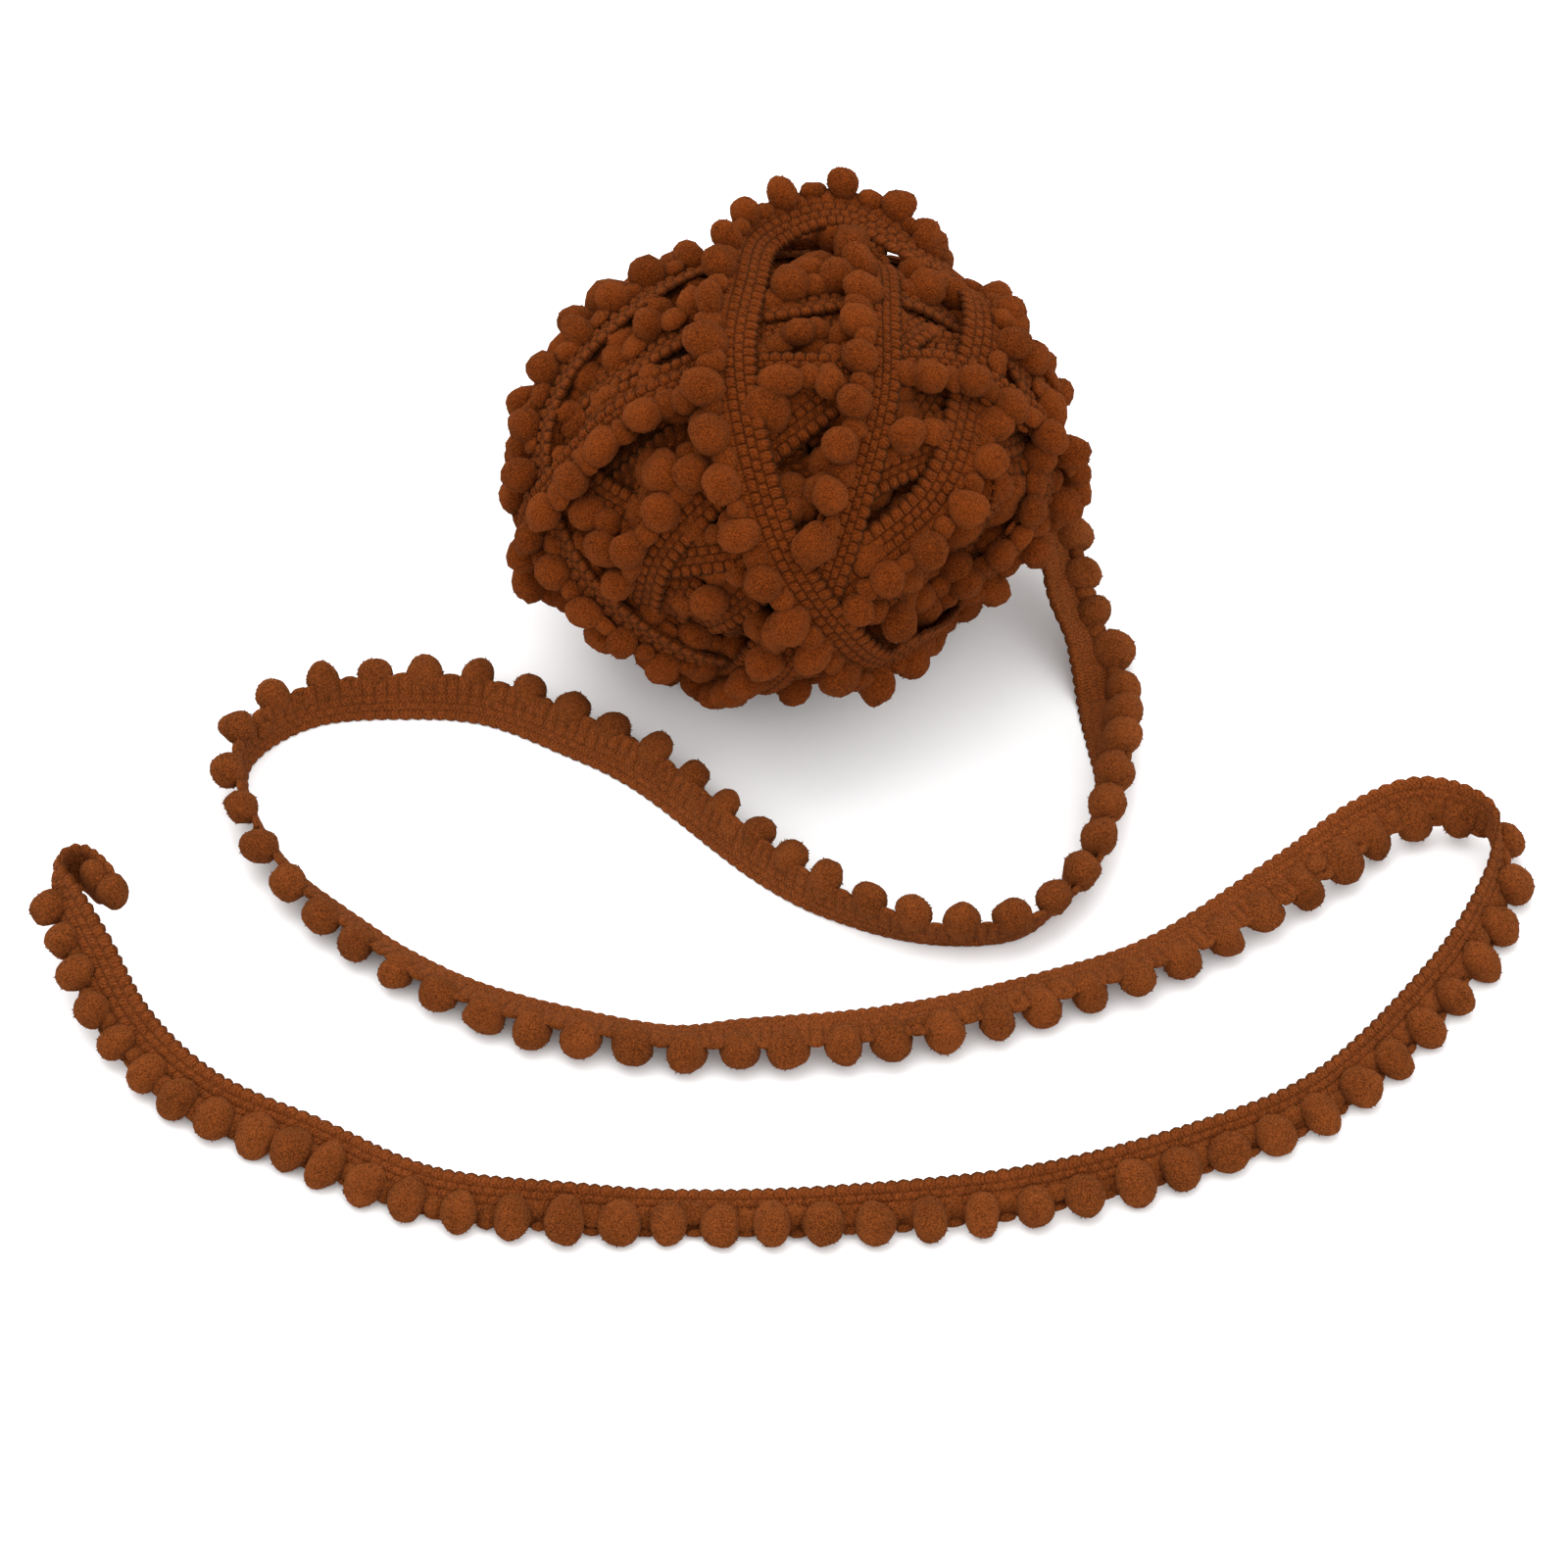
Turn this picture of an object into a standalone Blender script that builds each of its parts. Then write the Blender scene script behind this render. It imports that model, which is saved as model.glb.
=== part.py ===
"""Pompom fringe trim: a hand-wound ball of narrow trim with one loose tail lying on the table.

Metres, +Z up. The origin is the middle of the flat spot that the ball rests on, the tail
lies towards -Y, and everything rests on z = 0.
"""
import math

import bmesh
import bpy
import numpy as np
from mathutils import Vector

MM = 0.001

# The trim, across: w runs from the picot edge to the pompoms, h out of the front face.
TAPE_WIDTH = 4.5 * MM
TAPE_THICKNESS = 1.0 * MM
PICOT_EDGE_W = -3.4 * MM
POMPOM_W = 3.7 * MM
POMPOM_H = 2.4 * MM
POMPOM_RADIUS = 2.75 * MM
SHOULDER_RADIUS = 2.2 * MM
SHOULDER_STEP = 1.9 * MM
WEB_W = 3.1 * MM
WEB_H = 1.4 * MM
WEB_RADIUS = 1.1 * MM
POMPOM_PITCH = 7.8 * MM
END_MARGIN = 2.6 * MM
TABLE_CLEARANCE = 0.15 * MM

# The tail's centre line on the table, from the ball to its end: place in mm, height above
# lying on the table in mm, and roll about its own direction in degrees. At roll 0 the front
# faces up with the pompoms on the left; at 90 they stand straight up.
TAIL_ROUTE = (
    # x, y, lift, roll
    (39.3, 17.5, 15, -50),
    (43, 8.5, 10.5, -44),
    (44.5, 2, 7.5, -39),
    (46, -4, 4.5, -33),
    (49.5, -11, 1.5, -25),
    (51.5, -19, 0, -11),
    (52, -28.5, 0, 16),
    (52, -38, 0, 36),
    (50, -49, 0, 40),
    (46.5, -60, 0, 45),
    (37.5, -71, 0, 68),
    (22.5, -72.5, 0, 77),
    (7, -66.5, 0, 94),
    (-5.5, -56.5, 0, 116),
    (-24, -37, 0, 126),
    (-37.5, -28, 0, 128),
    (-50.5, -21.5, 0, 131),
    (-64, -20.5, 0, 126),
    (-78, -22.5, 0, 116),
    (-87.5, -29.5, 0, 108),
    (-90, -38, 0, 102),
    (-85, -52, 0, 109),
    (-75.5, -64.5, 0, 129),
    (-52, -83.5, 0, 144),
    (-23, -92.5, 0, 141),
    (-7, -93, 0, 152),
    (15, -91.5, 0, 161),
    (37.5, -85, 0, 161),
    (59.5, -76, 0, 166),
    (80.5, -61.5, 0, 192),
    (92, -52, 0, 213),
    (101.5, -47.5, 0, 229),
    (111.5, -50.5, 0, 259),
    (114, -57, 0, 291),
    (112, -66.5, 0, 306),
    (103.5, -82.5, 0, 318),
    (85, -104.5, 0, 325),
    (64.5, -116, 0, 325),
    (36.5, -126, 0, 312),
    (5.5, -129, 0, 329),
    (-18.5, -128.5, 0, 343),
    (-34.5, -128.5, 0, 325),
    (-57, -125, 0, 328),
    (-76, -114, 0, 339),
    (-92.5, -105, 0, 328),
    (-104, -92.5, 1.5, 325),
    (-110.5, -80, 5, 326),
    (-115, -70, 7.5, 329),
    (-120.5, -58, 9.5, 331),
)
ROUTE_STEPS_PER_ROW = 24
TAPE_STEP = 4.6 * MM

# The tail's end is folded under itself about a line across the trim.
FOLDED_LENGTH = 13.0 * MM
FOLD_SKEW = math.radians(68)
FOLD_ANGLE = math.radians(146)
FOLD_RADIUS = 2.2 * MM

# The wound ball: a squashed core with its main turns laid over it as flat straps.
BALL_CENTRE = Vector((0.0, 0.0, 34.0 * MM))
CORE_RADII = Vector((42.5, 35.5, 31.5)) * MM
CORE_CUTS = 10
STRAP_WIDTH = 8.6 * MM
STRAP_ROOT = 3.0 * MM
STRAP_SEGMENTS = 28

# Where the hand winding is fuller or drawn in: heading and tilt in degrees, how far the
# core moves out in mm, and the angle over which that fades in degrees.
HAND_SHAPE = (
    # heading, tilt, outward, spread
    (75, 42, 12.0, 19),
    (183, -5, 2.0, 32),
    (-34, -27, -7.0, 30),
)

# Each turn's plane: heading and tilt of its normal in degrees, its offset from the ball's
# centre along that normal in mm, and how far it stands out in mm.
MAIN_TURNS = (
    # heading, tilt, offset, rise
    (331, 45, 18, 5.0),
    (357, -22, 2, 4.4),
    (273, -37, -12, 3.8),
    (357, -67, -11, 3.2),
    (294, 8, -2, 2.6),
    (282, -10, 13, 2.0),
    (270, 48, 1, 3.5),
    (312, -31, 24, 2.9),
    (250, 30, 25, 2.3),
    (205, 20, -20, 4.1),
    (100, -30, 22, 2.7),
)

TRIM_COLOUR = (0.205, 0.048, 0.011, 1.0)
POMPOM_COLOUR = (0.235, 0.060, 0.015, 1.0)
BALL_COLOUR = (0.19, 0.044, 0.010, 1.0)


def clear_scene():
    """Remove every object of the open file."""
    for obj in list(bpy.data.objects):
        bpy.data.objects.remove(obj, do_unlink=True)


def new_collection(name):
    collection = bpy.data.collections.new(name)
    bpy.context.scene.collection.children.link(collection)
    return collection


def fabric_material(name, colour, roughness):
    material = bpy.data.materials.new(name)
    material.use_nodes = True
    shader = material.node_tree.nodes["Principled BSDF"]
    shader.inputs["Base Color"].default_value = colour
    shader.inputs["Roughness"].default_value = roughness
    shader.inputs["Metallic"].default_value = 0.0
    return material


def new_mesh_object(name, bm, collection, material):
    """Turn a bmesh into a smooth-shaded object."""
    mesh = bpy.data.meshes.new(name)
    bm.to_mesh(mesh)
    bm.free()
    mesh.shade_smooth()
    mesh.materials.append(material)
    obj = bpy.data.objects.new(name, mesh)
    collection.objects.link(obj)
    return obj


def rest_height(roll):
    """Height of the centre line at which the trim's lowest corner just touches the table."""
    rise_w, rise_h = math.sin(roll), math.cos(roll)
    half = TAPE_THICKNESS / 2
    tape_edges = (PICOT_EDGE_W, PICOT_EDGE_W + TAPE_WIDTH)
    corners = [w * rise_w + h * rise_h for w in tape_edges for h in (-half, half)]
    pompom = POMPOM_W * rise_w + POMPOM_H * rise_h - POMPOM_RADIUS
    return TABLE_CLEARANCE - min(corners + [pompom])


class TrimPath:
    """The tail's centre line with its frame, asked for by the distance from its start."""

    def __init__(self, route):
        rows = np.array(route, dtype=float)
        rows[:, :3] *= MM
        rows[:, 3] = np.radians(rows[:, 3])
        padded = np.vstack([2 * rows[0] - rows[1], rows, 2 * rows[-1] - rows[-2]])
        samples = [self._span(padded[i:i + 4]) for i in range(len(rows) - 1)]
        samples = np.vstack(samples + [rows[-1:]])
        heights = np.array([rest_height(roll) for roll in samples[:, 3]]) + samples[:, 2]
        self.centres = np.column_stack([samples[:, :2], heights])
        self.rolls = samples[:, 3]
        steps = np.linalg.norm(np.diff(self.centres, axis=0), axis=1)
        self.distances = np.concatenate([[0.0], np.cumsum(steps)])
        self.length = float(self.distances[-1])
        self.fold_at = self.length - FOLDED_LENGTH

    @staticmethod
    def _span(four):
        """Catmull-Rom samples between the two middle rows."""
        u = np.arange(ROUTE_STEPS_PER_ROW)[:, None] / ROUTE_STEPS_PER_ROW
        before, start, end, after = four
        bend = 2 * before - 5 * start + 4 * end - after
        twist = -before + 3 * start - 3 * end + after
        return start + 0.5 * u * ((end - before) + u * (bend + u * twist))

    def centre(self, distance):
        return Vector([np.interp(distance, self.distances, axis) for axis in self.centres.T])

    def frame(self, distance):
        """Centre, direction, pompom direction and front normal."""
        distance = min(distance, self.fold_at)
        reach = POMPOM_PITCH / 4
        along = (self.centre(distance + reach) - self.centre(distance - reach)).normalized()
        left = Vector((0, 0, 1)).cross(along).normalized()
        up = along.cross(left)
        roll = float(np.interp(distance, self.distances, self.rolls))
        across = math.cos(roll) * left + math.sin(roll) * up
        return self.centre(distance), along, across, along.cross(across)

    def point(self, distance, w, h):
        """Place a point of the trim, folding what lies past the fold line under."""
        centre, along, across, normal = self.frame(distance)
        past_fold = max(0.0, distance - self.fold_at)
        flat = centre + past_fold * along + w * across + h * normal
        if distance < self.fold_at - 2 * TAPE_WIDTH:
            return flat
        return self._folded(flat)

    def _folded(self, flat):
        pivot, along, across, normal = self.frame(self.fold_at)
        line = math.cos(FOLD_SKEW) * along - math.sin(FOLD_SKEW) * across
        onward = math.sin(FOLD_SKEW) * along + math.cos(FOLD_SKEW) * across
        offset = flat - pivot
        past_line = offset.dot(onward)
        if past_line <= 0:
            return flat
        angle = min(past_line / FOLD_RADIUS, FOLD_ANGLE)
        beyond = past_line - angle * FOLD_RADIUS
        axis = pivot + offset.dot(line) * line - FOLD_RADIUS * normal
        outward = math.sin(angle) * onward + math.cos(angle) * normal
        returning = math.cos(angle) * onward - math.sin(angle) * normal
        return axis + (FOLD_RADIUS + offset.dot(normal)) * outward + beyond * returning


def make_tail_tape(path, collection):
    """The woven heading: a flat strip along the route, thickened evenly."""
    bm = bmesh.new()
    bmesh.ops.create_grid(bm, x_segments=round(path.length / TAPE_STEP), y_segments=1, size=0.5)
    for vert in bm.verts:
        distance = (vert.co.x + 0.5) * path.length
        w = PICOT_EDGE_W + (vert.co.y + 0.5) * TAPE_WIDTH
        vert.co = path.point(distance, w, 0.0)
    tape = new_mesh_object("tail_tape", bm, collection, fabric_material("tape", TRIM_COLOUR, 0.85))
    thicken = tape.modifiers.new("thickness", "SOLIDIFY")
    thicken.thickness = TAPE_THICKNESS
    thicken.offset = 0.0
    return tape


def make_tail_pompoms(path, collection):
    """The row of pompoms and the web that carries it: one comb along the tape's edge."""
    ring_table = (
        # step from the pompom's middle, w, h, radius
        (-SHOULDER_STEP, POMPOM_W, POMPOM_H, SHOULDER_RADIUS),
        (0.0, POMPOM_W, POMPOM_H, POMPOM_RADIUS),
        (SHOULDER_STEP, POMPOM_W, POMPOM_H, SHOULDER_RADIUS),
        (POMPOM_PITCH / 2, WEB_W, WEB_H, WEB_RADIUS),
    )
    row_length = path.length - 2 * END_MARGIN
    gaps = round(row_length / POMPOM_PITCH)
    rings = [(END_MARGIN + i * row_length / gaps + step, w, h, radius)
             for i in range(gaps + 1) for step, w, h, radius in ring_table]
    rings.pop()
    curve = bpy.data.curves.new("tail_pompoms", "CURVE")
    curve.dimensions = "3D"
    curve.bevel_depth = POMPOM_RADIUS
    curve.bevel_resolution = 1
    curve.use_fill_caps = True
    spline = curve.splines.new("POLY")
    spline.points.add(len(rings) - 1)
    spline.use_smooth = True
    for point, (distance, w, h, radius) in zip(spline.points, rings):
        point.co = (*path.point(distance, w, h), 1.0)
        point.radius = radius / POMPOM_RADIUS
    curve.materials.append(fabric_material("pompom", POMPOM_COLOUR, 0.95))
    comb = bpy.data.objects.new("tail_pompoms", curve)
    collection.objects.link(comb)
    weld = comb.modifiers.new("close_caps", "WELD")
    weld.merge_threshold = 0.01 * MM
    return comb


def turn_normal(heading, tilt):
    heading, tilt = math.radians(heading), math.radians(tilt)
    level = math.cos(tilt)
    return Vector((level * math.cos(heading), level * math.sin(heading), math.sin(tilt)))


def hand_shape(direction):
    """How far the winding is fuller, or drawn in, in this direction."""
    change = 0.0
    for heading, tilt, outward, spread in HAND_SHAPE:
        away = math.degrees(direction.angle(turn_normal(heading, tilt)))
        change += outward * MM * math.exp(-(away / spread) ** 2)
    return change


def make_strap(name, turn, cutters):
    """One turn round the core: an open ring on the plane's cut through it, thickened inward."""
    heading, tilt, offset, rise = turn
    axis = turn_normal(heading, tilt)
    side = axis.orthogonal().normalized()
    start = axis * offset * MM
    bm = bmesh.new()
    bmesh.ops.create_cone(bm, cap_ends=False, segments=STRAP_SEGMENTS, radius1=1.0, radius2=1.0,
                          depth=STRAP_WIDTH)
    for vert in bm.verts:
        ray = vert.co.x * side + vert.co.y * axis.cross(side)
        core_point = start + ray * reach_to_core(start, ray)
        outward = core_point.normalized()
        across = (axis - outward * axis.dot(outward)).normalized()
        lift = rise * MM + hand_shape(outward)
        vert.co = BALL_CENTRE + core_point + outward * lift + across * vert.co.z
    mesh = bpy.data.meshes.new(name)
    bm.to_mesh(mesh)
    bm.free()
    strap = bpy.data.objects.new(name, mesh)
    cutters.objects.link(strap)
    strap.hide_render = True
    strap.display_type = "WIRE"
    thicken = strap.modifiers.new("thickness", "SOLIDIFY")
    thicken.thickness = rise * MM + STRAP_ROOT
    thicken.offset = -1.0
    return strap


def reach_to_core(start, ray):
    """Distance along the ray from start to the plain core, an ellipsoid."""
    from_centre = Vector([a / b for a, b in zip(start, CORE_RADII)])
    along = Vector([a / b for a, b in zip(ray, CORE_RADII)])
    square, mixed = along.dot(along), along.dot(from_centre)
    rest = from_centre.dot(from_centre) - 1.0
    return (-mixed + math.sqrt(mixed * mixed - square * rest)) / square


def join_by_boolean(obj, name, operation, operand):
    boolean = obj.modifiers.new(name, "BOOLEAN")
    boolean.operation = operation
    boolean.solver = "MANIFOLD"
    boolean.object = operand


def make_table_cutter(cutters):
    """A box below z = 0 that cuts the ball's flat spot."""
    size = 120 * MM
    bpy.ops.mesh.primitive_cube_add(size=size, location=(0, 0, -size / 2))
    box = bpy.context.object
    box.name = "table_cutter"
    for collection in list(box.users_collection):
        collection.objects.unlink(box)
    cutters.objects.link(box)
    box.hide_render = True
    box.display_type = "WIRE"
    return box


def make_ball(collection, cutters):
    """The wound body with its main turns, cut flat where it rests."""
    bm = bmesh.new()
    bmesh.ops.create_cube(bm, size=2.0)
    bmesh.ops.subdivide_edges(bm, edges=bm.edges, cuts=CORE_CUTS, use_grid_fill=True)
    for vert in bm.verts:
        even = Vector([math.tan(axis * math.pi / 4) for axis in vert.co]).normalized()
        core_point = even * CORE_RADII
        outward = core_point.normalized()
        vert.co = BALL_CENTRE + core_point + outward * hand_shape(outward)
    ball = new_mesh_object("wound_ball", bm, collection, fabric_material("ball", BALL_COLOUR, 0.9))
    for i, turn in enumerate(MAIN_TURNS):
        strap = make_strap(f"strap_{i + 1}", turn, cutters)
        join_by_boolean(ball, f"lay_turn_{i + 1}", "UNION", strap)
    join_by_boolean(ball, "flat_spot", "DIFFERENCE", make_table_cutter(cutters))
    return ball


def main():
    clear_scene()
    collection = new_collection("pompom_fringe_trim")
    cutters = new_collection("cutters")
    path = TrimPath(TAIL_ROUTE)
    make_ball(collection, cutters)
    make_tail_tape(path, collection)
    make_tail_pompoms(path, collection)


main()
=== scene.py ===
"""Pompom fringe trim: a hand-wound ball of narrow trim with one loose tail on the table.

Laid out as a Blender add-on and run as a script. Metres, +Z up, in the frame of the CAD
model. The trim has one section, used for the tail and for every turn of the ball: w runs
across it from the picot edge to the pompoms, h out of its front face.
"""
import math
from collections import namedtuple

import bmesh
import bpy
import numpy as np
from bpy.props import FloatProperty, FloatVectorProperty, PointerProperty
from bpy.types import Operator, Panel, PropertyGroup
from mathutils import Matrix, Quaternion, Vector


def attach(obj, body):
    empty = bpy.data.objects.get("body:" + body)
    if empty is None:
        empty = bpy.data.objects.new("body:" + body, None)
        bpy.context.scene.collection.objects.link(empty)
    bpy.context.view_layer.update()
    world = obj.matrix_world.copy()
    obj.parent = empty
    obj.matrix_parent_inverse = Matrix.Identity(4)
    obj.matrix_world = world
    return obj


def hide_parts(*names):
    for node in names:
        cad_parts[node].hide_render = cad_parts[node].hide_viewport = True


bl_info = {
    "name": "Pompom Fringe Trim",
    "version": (1, 0, 0),
    "blender": (4, 5, 0),
    "location": "View3D > Sidebar > Trim",
    "description": "A hand-wound ball of pompom fringe trim with a loose tail",
    "category": "Object",
}

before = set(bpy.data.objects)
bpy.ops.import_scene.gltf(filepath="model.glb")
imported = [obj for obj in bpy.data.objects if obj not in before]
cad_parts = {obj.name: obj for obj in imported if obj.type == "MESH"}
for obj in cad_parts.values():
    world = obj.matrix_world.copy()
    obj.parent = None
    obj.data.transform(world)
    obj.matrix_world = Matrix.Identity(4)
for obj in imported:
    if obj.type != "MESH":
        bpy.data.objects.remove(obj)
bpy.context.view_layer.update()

MM = 0.001
UP = np.array([0.0, 0.0, 1.0])

# The tail's centre line on the table, from the ball to its end: place in mm, height above
# lying on the table in mm, and roll about its own direction in degrees. At roll 0 the front
# faces up with the pompoms on the left; at 90 they stand straight up.
TAIL_ROUTE = (
    # x, y, lift, roll
    (39.3, 17.5, 15, -50),
    (43, 8.5, 10.5, -44),
    (44.5, 2, 7.5, -39),
    (46, -4, 4.5, -33),
    (49.5, -11, 1.5, -25),
    (51.5, -19, 0, -11),
    (52, -28.5, 0, 16),
    (52, -38, 0, 36),
    (50, -49, 0, 40),
    (46.5, -60, 0, 45),
    (37.5, -71, 0, 68),
    (22.5, -72.5, 0, 77),
    (7, -66.5, 0, 94),
    (-5.5, -56.5, 0, 116),
    (-24, -37, 0, 126),
    (-37.5, -28, 0, 128),
    (-50.5, -21.5, 0, 131),
    (-64, -20.5, 0, 126),
    (-78, -22.5, 0, 116),
    (-87.5, -29.5, 0, 108),
    (-90, -38, 0, 102),
    (-85, -52, 0, 109),
    (-75.5, -64.5, 0, 129),
    (-52, -83.5, 0, 144),
    (-23, -92.5, 0, 141),
    (-7, -93, 0, 152),
    (15, -91.5, 0, 161),
    (37.5, -85, 0, 161),
    (59.5, -76, 0, 166),
    (80.5, -61.5, 0, 192),
    (92, -52, 0, 213),
    (101.5, -47.5, 0, 229),
    (111.5, -50.5, 0, 259),
    (114, -57, 0, 291),
    (112, -66.5, 0, 306),
    (103.5, -82.5, 0, 318),
    (85, -104.5, 0, 325),
    (64.5, -116, 0, 325),
    (36.5, -126, 0, 312),
    (5.5, -129, 0, 329),
    (-18.5, -128.5, 0, 343),
    (-34.5, -128.5, 0, 325),
    (-57, -125, 0, 328),
    (-76, -114, 0, 339),
    (-92.5, -105, 0, 328),
    (-104, -92.5, 1.5, 325),
    (-110.5, -80, 5, 326),
    (-115, -70, 7.5, 329),
    (-120.5, -58, 9.5, 331),
)
# The tail's first few millimetres, tucked in under the ball's outer turns.
TAIL_ROOT = ((33.0, 25.5, 18, -56),)
ROUTE_STEPS = 24

# The plain section that the tail rests on, in mm, as the CAD solids have it: the tape's corners
# and the pompom, each by its place across and out and its radius.
REST_SECTION = ((-3.4, -0.5, 0), (-3.4, 0.5, 0), (1.1, -0.5, 0), (1.1, 0.5, 0), (3.7, 2.4, 2.75))
REST_CLEARANCE = 0.15

# The tail's end stands up on its lower edge and turns back on itself.
FOLD_BEFORE_END = 10.7 * MM
FOLDED_LENGTH = 16.5 * MM
FOLD_SKEW = math.radians(80)
FOLD_ANGLE = math.radians(168)
FOLD_RADIUS = 2.7 * MM
END_TWIST = math.radians(-44)
TWISTED_LENGTH = 24 * MM
# The fold line runs askew, so that the trim's sides cross it up to this far before its middle.
FOLD_SIDE_REACH = 9 * MM

# How the trim lies: how far its width spreads, how big and how tall its pompoms are, how far
# out they stand in mm, how raised its stitches are, how far in mm it lies to the left of its
# route and by how many degrees it is turned more.
Fit = namedtuple("Fit", "spread size tall reach relief aside turned", defaults=(1, 0, 1, 0, 0))
TAIL_FIT = np.array((
    # share of the tail's length, then the values of its fit
    (0.000, 1.34, 1.02, 1.04, -0.3, 0.26, 0.0, 0),
    (0.045, 1.32, 1.04, 1.04, -0.3, 0.26, 0.0, 0),
    (0.070, 1.28, 1.06, 1.02, -0.1, 0.28, 0.0, 18),
    (0.100, 1.14, 1.06, 1.00, 0.0, 0.40, 0.0, 18),
    (0.125, 1.12, 1.06, 1.00, 0.2, 0.55, 0.0, 4),
    (0.150, 1.12, 1.00, 1.00, 0.3, 0.62, 0.0, 0),
    (0.200, 1.07, 0.88, 1.00, 0.8, 0.62, 0.0, 0),
    (0.320, 1.07, 0.91, 1.00, 1.0, 0.62, 0.0, 0),
    (0.370, 1.06, 1.00, 1.00, 0.5, 0.62, -0.2, 4),
    (0.420, 1.06, 1.04, 1.00, 0.1, 0.62, -0.8, 14),
    (0.480, 1.08, 1.05, 1.04, 0.0, 0.62, -0.8, 12),
    (0.540, 1.10, 1.00, 1.16, -0.2, 0.62, 0.0, 0),
    (0.800, 1.06, 0.99, 1.20, -0.5, 0.62, 0.0, 0),
    (0.840, 1.04, 1.00, 1.22, -0.6, 0.62, 0.0, 0),
    (0.910, 1.10, 1.02, 1.16, -0.4, 0.62, 0.2, 0),
    (0.950, 1.24, 0.96, 1.06, -0.2, 0.66, 1.4, 0),
    (0.979, 1.28, 0.88, 1.04, -0.6, 0.70, 1.8, 0),
    (0.985, 1.28, 0.55, 1.00, -2.0, 0.70, 1.8, 0),
    (0.992, 1.28, 0.90, 1.00, -1.2, 0.70, 1.8, 0),
))
# Its pompoms stand closer near both ends: share of the length and share of the pompoms.
TAIL_CROWDING = ((0.0, 0.0), (0.12, 0.128), (0.88, 0.863), (1.0, 1.0))
# Beside the fold the pompoms' side is drawn in, and both sides are at the cut end: distance
# past the fold in mm, and the share left of the pompoms' side and of the picots' side.
FOLD_GATHER = (
    (-4, 1, 1), (0, 0.62, 1), (2, 0.60, 1), (6, 1, 1), (12, 0.90, 1), (14.5, 0.60, 0.85),
    (16.5, 0.20, 0.25),
)
# Nothing is sewn this near the fold but pompoms, nor this near the cut end.
FOLD_BARE = 6.0 * MM
END_BARE = 4.5 * MM

# The tape's section, in mm: where each column of stitches stands and how its ribs are cut.
TAPE_SECTION = (
    # w, front height, rib groove, back height, back groove, shift of the ribs, share of web
    (-3.60, 0.05, 0.00, 0.05, 0.00, 0.0, 0.0),
    (-3.15, 0.66, 0.50, 0.42, 0.12, 0.0, 0.0),
    (-2.34, 0.72, 0.52, 0.52, 0.14, 0.0, 0.0),
    (-2.12, 0.27, 0.06, 0.34, 0.10, 0.0, 0.0),
    (-1.90, 0.68, 0.50, 0.52, 0.16, 0.5, 0.0),
    (-1.08, 0.70, 0.50, 0.52, 0.18, 0.5, 0.0),
    (-0.86, 0.25, 0.06, 0.36, 0.14, 0.0, 0.0),
    (-0.64, 0.72, 0.54, 0.54, 0.22, 0.0, 0.0),
    (0.24, 0.74, 0.54, 0.56, 0.28, 0.0, 0.0),
    (0.47, 0.30, 0.06, 0.42, 0.20, 0.0, 0.0),
    (0.72, 0.78, 0.42, 0.60, 0.34, 0.0, 0.1),
    (2.00, 0.86, 0.26, 0.64, 0.36, 0.0, 1.0),
    (3.00, 0.52, 0.14, 0.48, 0.24, 0.0, 1.0),
    (3.45, 0.05, 0.00, 0.05, 0.00, 0.0, 0.0),
)
FULL_COLUMNS = tuple(range(len(TAPE_SECTION)))
PLAIN_COLUMNS = (0, 1, 3, 5, 6, 8, 9, 11, 13)
VALLEY_GROOVE = 0.06
# How much of a rib its groove takes, and how closely rows of points are drawn in to it.
GROOVE_SHARE = 0.24
GROOVE_PINCH = 1.9
FEWEST_RIBS = 8
# The web dips between the pompoms and swells under them, and its edge waves in and out, in mm.
WEB_WAVE = 0.12
DIP_DEPTH = 0.52
EDGE_WAVE = 0.22
EDGE_WAVE_START = 2.5
# Where the stitches lie flat, the valleys between the cords fill and the picots are shallower.
VALLEY_FILL = 0.30
PICOTS_LEFT = 0.45
# The depth of the notches between picots at a place across, in mm, and how round they are.
PICOTS = ((-3.6, 0.52), (-3.1, 0.30), (-2.4, 0.0))
PICOT_ROUND = 0.8
# Painted shade: the front is darkest below a height and lightens over a further height, in mm.
PAINTED_DARK_BELOW = 0.10
PAINTED_SHADE_FADES_OVER = 0.42
MOST_PAINTED_LIGHT = 0.94
# Painted shade on the back, in its grooves and in the valleys between cords.
BACK_GROOVE_PAINTED_SHADE = 1.6
VALLEY_PAINTED_SHADE = 0.2
# Unevenness of the stitches' height, and of the ribs along the tape as waves, each with its
# size, its rate a rib and its shift from one strip to the next.
STITCH_NOISE = 0.035 * MM
RIB_WOBBLE = ((0.10 * MM, 0.9, 0), (0.07 * MM, 2.3, 1))
# The slabs that the tape is made from, before they are laid in place.
SLAB_STEP = 2
SLAB_THICKNESS = 0.25
TAIL_RIB_ROWS = 4

# What is sewn on: its place across and out of the tape and its half sizes along, across and
# out in mm, the cuts of its mesh, how lumpy it is, how unlike its fellows, how far it leans,
# its loose fibres and whether it stands out by the tail's reach.
Tuft = namedtuple("Tuft", "w h sizes cuts lumps jitter lean fibres reach", defaults=(0.0, 0, 0))
TAIL_POMPOM = Tuft(2.50, 1.35, (3.15, 3.15, 2.95), 4, 0.032, 0.06, lean=0.10, fibres=90, reach=1)
TAIL_LOBE = Tuft(0.75, 0.38, (2.20, 1.40, 0.75), 2, 0.05, 0.12)
END_LOBE = Tuft(1.75, 0.80, (1.90, 1.55, 1.20), 2, 0.05, 0.12)
END_POMPOM = Tuft(-0.90, -0.90, (3.10, 3.30, 3.00), 3, 0.03, 0.07)
BALL_POMPOM = Tuft(3.10, 1.60, (3.38, 3.32, 3.10), 3, 0.04, 0.08, lean=0.18, fibres=60)
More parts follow.
